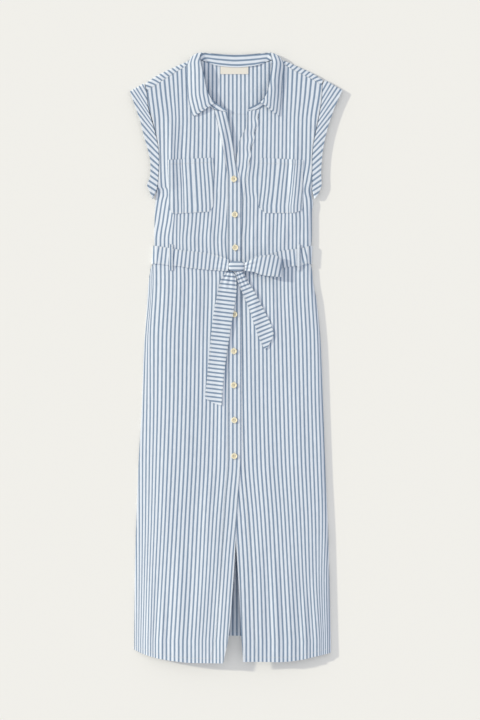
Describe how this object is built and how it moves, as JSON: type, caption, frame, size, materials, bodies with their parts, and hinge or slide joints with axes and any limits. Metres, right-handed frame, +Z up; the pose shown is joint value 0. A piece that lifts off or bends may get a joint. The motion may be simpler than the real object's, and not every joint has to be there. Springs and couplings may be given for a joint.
{
  "type": "shirt dress",
  "caption": "Midi shirt dress with cap sleeves, pointed collar, chest pockets, button front and tie belt, laid flat.",
  "frame": {"origin": "middle of the dress's outline seen from above, on the surface that it lies on", "axes": "+Y from the hem towards the collar, +X to the wearer's left, +Z up from the surface, out of the front"},
  "size_m": [0.4564, 1.3082, 0.0286],
  "materials": {
    "striped_cotton": "crisp light plain weave in white and mid blue stripes of 8.7 mm repeat, dry and matte",
    "cream_button": "cream, softly polished, slightly mottled",
    "label_tape": "smooth woven cream tape"
  },
  "bodies": {
    "root": {"front_right": "striped_cotton", "front_left": "striped_cotton", "back_body": "striped_cotton", "back_yoke": "striped_cotton", "placket_top": "striped_cotton", "placket_under": "striped_cotton", "sleeve_right": "striped_cotton", "sleeve_left": "striped_cotton", "collar_stand": "striped_cotton", "collar_leaf": "striped_cotton", "pocket_right": "striped_cotton", "pocket_left": "striped_cotton", "belt_back": "striped_cotton", "belt_side_right": "striped_cotton", "belt_side_left": "striped_cotton", "belt_knot": "striped_cotton", "belt_bow_loop": "striped_cotton", "belt_tail_long": "striped_cotton", "belt_tail_short": "striped_cotton", "belt_loop_right": "striped_cotton", "belt_loop_left": "striped_cotton", "neck_label": "label_tape", "button_1": "cream_button", "button_2": "cream_button", "button_3": "cream_button", "button_4": "cream_button", "button_5": "cream_button", "button_6": "cream_button", "button_7": "cream_button", "button_8": "cream_button", "button_9": "cream_button"}
  },
  "joints": []
}
